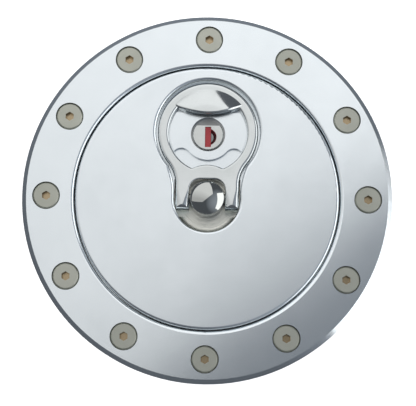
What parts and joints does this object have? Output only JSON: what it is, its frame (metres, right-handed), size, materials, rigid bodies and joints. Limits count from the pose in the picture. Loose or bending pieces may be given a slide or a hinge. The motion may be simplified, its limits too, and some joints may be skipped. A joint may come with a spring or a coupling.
{
  "type": "flush filler cap",
  "caption": "Flush round filler cap with a bolted flange, a bayonet lid, a fold-flat lever on a domed post, a key lock and a hose neck.",
  "frame": {"origin": "on the filler's axis, in the plane of the deck under the gasket", "axes": "+Z out of the deck along the filler's axis, +Y from the domed post towards the key lock"},
  "size_m": [0.139, 0.139, 0.0865],
  "materials": {
    "satin_aluminium": "satin, bead-blasted with faint turning marks",
    "machined_aluminium": "as machined",
    "acetal": "matt off-white",
    "black_rubber": "matt",
    "polished_steel": "hand polished",
    "lock_metal": "satin nickel",
    "stainless_screws": "satin",
    "plain_steel": "plain machined",
    "spring_steel": "drawn wire",
    "red_plastic": "moulded, slightly glossy"
  },
  "bodies": {
    "root": {"flange_ring": "satin_aluminium", "deck_gasket": "black_rubber", "mounting_screws": "stainless_screws", "filler_neck": "machined_aluminium", "neck_oring": "black_rubber", "neck_screws": "stainless_screws", "stop_pins": "plain_steel"},
    "seal": {"main_seal": "black_rubber", "slip_ring": "acetal"},
    "lid": {"lid_body": "satin_aluminium", "seal_retainer": "plain_steel", "drive_dowels": "plain_steel", "lock_housing": "lock_metal", "lock_circlip": "plain_steel", "cover_gasket": "black_rubber", "cavity_cover": "machined_aluminium", "cover_screws": "stainless_screws"},
    "post": {"centre_post": "polished_steel", "post_oring": "black_rubber", "bayonet_plate": "machined_aluminium", "post_washer": "plain_steel", "post_nut": "plain_steel", "release_spring": "spring_steel"},
    "lever": {"lever": "polished_steel", "cross_pin": "plain_steel"},
    "plug": {"lock_plug": "lock_metal", "lock_cam": "plain_steel", "cam_screw": "stainless_screws", "shutter_spring": "spring_steel"},
    "shutter": {"key_shutter": "red_plastic"}
  },
  "joints": [
    {"name": "lid_lift", "type": "slide", "parent": "root", "child": "seal", "axis": [0, 0, 1], "range_m": [0, 0.045]},
    {"name": "lid_turn", "type": "hinge", "parent": "seal", "child": "lid", "pos_m": [0, 0, 0.008], "axis": [0, 0, -1], "range_deg": [0, 60]},
    {"name": "post_drop", "type": "slide", "parent": "lid", "child": "post", "axis": [0, 0, -1], "range_m": [0, 0.00091], "deforming": ["release_spring"]},
    {"name": "lever_lift", "type": "hinge", "parent": "post", "child": "lever", "pos_m": [0, 0, 0.0049], "axis": [1, 0, 0], "range_deg": [0, 90]},
    {"name": "key_turn", "type": "hinge", "parent": "lid", "child": "plug", "pos_m": [0, 0.0245, 0.0043], "axis": [0, 0, -1], "range_deg": [0, 90]},
    {"name": "shutter_push", "type": "slide", "parent": "plug", "child": "shutter", "axis": [0, 0, -1], "range_m": [0, 0.003], "stiffness_N_per_m": 60, "springref_m": -0.001, "deforming": ["shutter_spring"]}
  ],
  "couplings": [
    {"joint": "post_drop", "follows": "lever_lift", "m_per_rad": 0.00057296}
  ]
}
